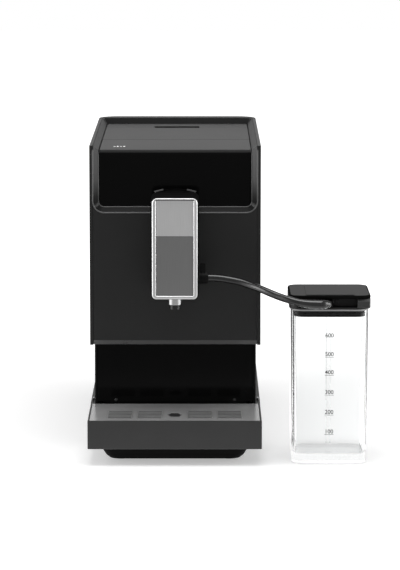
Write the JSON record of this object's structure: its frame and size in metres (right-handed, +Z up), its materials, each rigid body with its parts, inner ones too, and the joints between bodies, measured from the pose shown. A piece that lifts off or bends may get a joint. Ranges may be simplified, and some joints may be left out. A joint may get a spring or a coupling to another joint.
{
  "type": "espresso machine with grinder",
  "caption": "Slim black bean-to-cup espresso machine with sliding dispenser, drip tray, and a clear milk jug on a hose.",
  "frame": {"origin": "on the worktop, under the middle of the box round the machine and its jug, the hose left out", "axes": "+X to the user's right, towards the jug; +Y from the front to the back of the machine; +Z up"},
  "size_m": [0.292, 0.4412, 0.323],
  "materials": {
    "matte_black": "fine spark-eroded grain",
    "gloss_black": "polished",
    "column_black": "semi-gloss",
    "panel_grey": "satin gloss",
    "tray_grey": "satin",
    "inner_black": "moulded",
    "rubber_black": "matt",
    "chrome": "satin chrome plating",
    "steel": "brushed",
    "dark_steel": "brushed, dark",
    "brass": "turned",
    "aluminium": "cast",
    "clear_plastic": "clear, polished",
    "smoked_plastic": "smoked, clear",
    "nylon": "natural nylon",
    "board_green": "lacquered"
  },
  "bodies": {
    "root": {"base_pan": "matte_black", "foot_front_left": "rubber_black", "foot_front_right": "rubber_black", "foot_rear_left": "rubber_black", "foot_rear_right": "rubber_black", "mains_inlet_gland": "rubber_black", "chassis": "column_black", "hood_shell": "matte_black", "gloss_fascia": "gloss_black", "left_side_panel": "matte_black", "right_side_panel": "matte_black", "rear_cover": "matte_black", "rear_screw_left": "steel", "rear_screw_right": "steel", "bean_hopper": "smoked_plastic", "grinder_housing": "inner_black", "grinder_motor": "dark_steel", "grounds_chute": "inner_black", "brew_frame": "inner_black", "brew_cylinder": "inner_black", "brew_motor": "dark_steel", "valve_seat": "rubber_black", "water_pump": "brass", "pump_saddle": "rubber_black", "thermoblock": "aluminium", "inlet_tube": "rubber_black", "pressure_tube": "rubber_black", "control_board": "board_green", "power_board": "board_green", "milk_hose": "rubber_black", "milk_jug": "clear_plastic"},
    "dispenser": {"dispenser_body": "matte_black", "dispenser_frame": "chrome", "dispenser_lower_plate": "dark_steel", "dispenser_upper_plate": "steel", "spout_ring": "chrome", "twin_nozzle": "rubber_black", "hose_socket": "rubber_black"},
    "tray": {"drip_tray": "tray_grey", "grounds_container": "gloss_black"},
    "grid": {"drip_grid": "panel_grey"},
    "float": {"tray_float": "inner_black"},
    "hopper_lid": {"bean_lid": "panel_grey"},
    "tank": {"water_tank": "clear_plastic", "tank_lid_pin": "steel"},
    "tank_cover": {"tank_lid": "panel_grey"},
    "knob": {"grind_knob": "inner_black"},
    "outer_burr": {"ring_burr": "steel"},
    "inner_burr": {"cone_burr": "steel", "burr_gear": "nylon"},
    "pinion": {"motor_pinion": "steel"},
    "piston": {"brew_piston": "inner_black"},
    "spindle": {"brew_spindle": "steel"},
    "door": {"service_door": "matte_black"},
    "milk_lid": {"jug_lid": "matte_black", "lid_cap": "matte_black", "lid_seal": "rubber_black", "suction_tube": "rubber_black", "hose_elbow": "rubber_black"}
  },
  "joints": [
    {"name": "dispenser_slide", "type": "slide", "parent": "root", "child": "dispenser", "axis": [0, 0, 1], "range_m": [-0.04, 0], "deforming": ["milk_hose"]},
    {"name": "tray_slide", "type": "slide", "parent": "root", "child": "tray", "axis": [0, -1, 0], "range_m": [0, 0.16]},
    {"name": "grid_lift", "type": "slide", "parent": "tray", "child": "grid", "axis": [0, 0, 1], "range_m": [0, 0.03]},
    {"name": "float_rise", "type": "slide", "parent": "tray", "child": "float", "axis": [0, 0, 1], "range_m": [0, 0.006]},
    {"name": "bean_lid_lift", "type": "slide", "parent": "root", "child": "hopper_lid", "axis": [0, 0, 1], "range_m": [0, 0.05]},
    {"name": "tank_lift", "type": "slide", "parent": "root", "child": "tank", "axis": [0, 0, 1], "range_m": [0, 0.21]},
    {"name": "tank_lid_hinge", "type": "hinge", "parent": "tank", "child": "tank_cover", "pos_m": [-0.056, 0.17545, 0.3158], "axis": [-1, 0, 0], "range_deg": [0, 92]},
    {"name": "grind_knob_turn", "type": "hinge", "parent": "root", "child": "knob", "pos_m": [-0.09755, 0.06265, 0.2973], "axis": [0, 0, 1], "range_deg": [-60, 60]},
    {"name": "ring_burr_turn", "type": "hinge", "parent": "root", "child": "outer_burr", "pos_m": [-0.056, 0.06265, 0.2363], "axis": [0, 0, 1], "range_deg": [-15, 15]},
    {"name": "burr_spin", "type": "hinge", "parent": "root", "child": "inner_burr", "pos_m": [-0.056, 0.06265, 0.165], "axis": [0, 0, 1], "continuous": true},
    {"name": "pinion_spin", "type": "hinge", "parent": "root", "child": "pinion", "pos_m": [-0.0923, 0.06265, 0.165], "axis": [0, 0, 1], "continuous": true},
    {"name": "brew_piston_travel", "type": "slide", "parent": "root", "child": "piston", "axis": [0, 0, -1], "range_m": [0, 0.04]},
    {"name": "brew_spindle_turn", "type": "hinge", "parent": "root", "child": "spindle", "pos_m": [-0.056, -0.06135, 0.192], "axis": [0, 0, 1], "range_deg": [0, 1800]},
    {"name": "service_door_hinge", "type": "hinge", "parent": "root", "child": "door", "pos_m": [0.03225, 0.0209, 0.125], "axis": [0, 0, 1], "range_deg": [0, 95]},
    {"name": "milk_lid_lift", "type": "slide", "parent": "root", "child": "milk_lid", "axis": [0, 0, 1], "range_m": [0, 0.03], "deforming": ["milk_hose"]}
  ],
  "couplings": [
    {"joint": "ring_burr_turn", "follows": "grind_knob_turn", "ratio": -0.25},
    {"joint": "pinion_spin", "follows": "burr_spin", "ratio": -2},
    {"joint": "brew_piston_travel", "follows": "brew_spindle_turn", "m_per_rad": 0.0012732}
  ]
}
